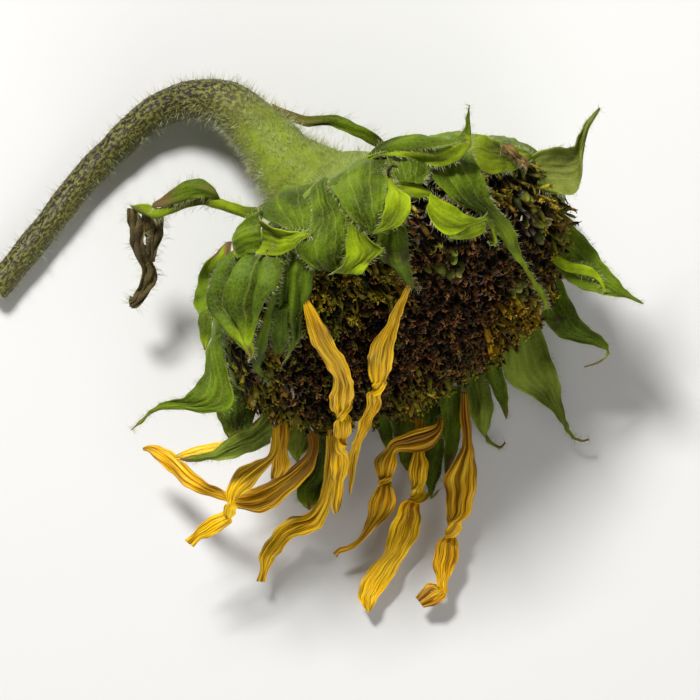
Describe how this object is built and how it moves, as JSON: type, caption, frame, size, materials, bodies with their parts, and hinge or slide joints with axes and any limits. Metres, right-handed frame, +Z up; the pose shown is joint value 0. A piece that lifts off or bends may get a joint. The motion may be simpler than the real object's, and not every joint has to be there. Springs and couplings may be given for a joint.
{
  "type": "sunflower seed head",
  "caption": "Wilting sunflower seed head cut with a bent piece of stem, domed brown seed disc, curled green bracts and drooping yellow ray florets, lying on its side.",
  "frame": {"origin": "centre of the bottom of the whole part's box, on the surface it lies on", "axes": "+Z up from the surface, +X from the cut end of the stem towards the head, -Y the way the seed disc leans"},
  "size_m": [0.2014, 0.1622, 0.114],
  "materials": {
    "stem_skin": "fresh hairy plant skin, soft sheen",
    "disc_florets": "dried floret mat, dull",
    "leaf_skin": "partly dried leaf, dull",
    "bract_skin": "fresh hairy leaf skin, soft sheen",
    "ray_floret_skin": "drying petal skin, soft sheen"
  },
  "bodies": {
    "root": {"stem_and_receptacle": "stem_skin", "seed_disc": "disc_florets", "bract_01": "bract_skin", "bract_02": "bract_skin", "bract_03": "bract_skin", "bract_04": "bract_skin", "bract_05": "bract_skin", "bract_06": "bract_skin", "bract_07": "bract_skin", "bract_08": "bract_skin", "bract_09": "bract_skin", "bract_10": "bract_skin", "bract_11": "bract_skin", "bract_12": "bract_skin", "bract_13": "bract_skin", "bract_14": "bract_skin", "bract_15": "bract_skin", "bract_16": "bract_skin", "bract_17": "bract_skin", "bract_18": "bract_skin", "bract_19": "bract_skin", "bract_20": "bract_skin", "bract_21": "bract_skin", "bract_22": "bract_skin", "bract_23": "bract_skin", "bract_24": "bract_skin", "bract_25": "bract_skin", "bract_26": "bract_skin", "bract_27": "bract_skin", "bract_28": "bract_skin", "bract_29": "bract_skin", "bract_30": "bract_skin", "bract_31": "bract_skin", "bract_32": "bract_skin", "bract_33": "bract_skin", "bract_34": "bract_skin", "bract_35": "bract_skin", "bract_36": "bract_skin", "stem_leaf_1": "leaf_skin", "stem_leaf_2": "leaf_skin", "ray_floret_01": "ray_floret_skin", "ray_floret_02": "ray_floret_skin", "ray_floret_03": "ray_floret_skin", "ray_floret_04": "ray_floret_skin", "ray_floret_05": "ray_floret_skin", "ray_floret_06": "ray_floret_skin", "ray_floret_07": "ray_floret_skin", "ray_floret_08": "ray_floret_skin", "ray_floret_09": "ray_floret_skin", "ray_floret_10": "ray_floret_skin"}
  },
  "joints": []
}
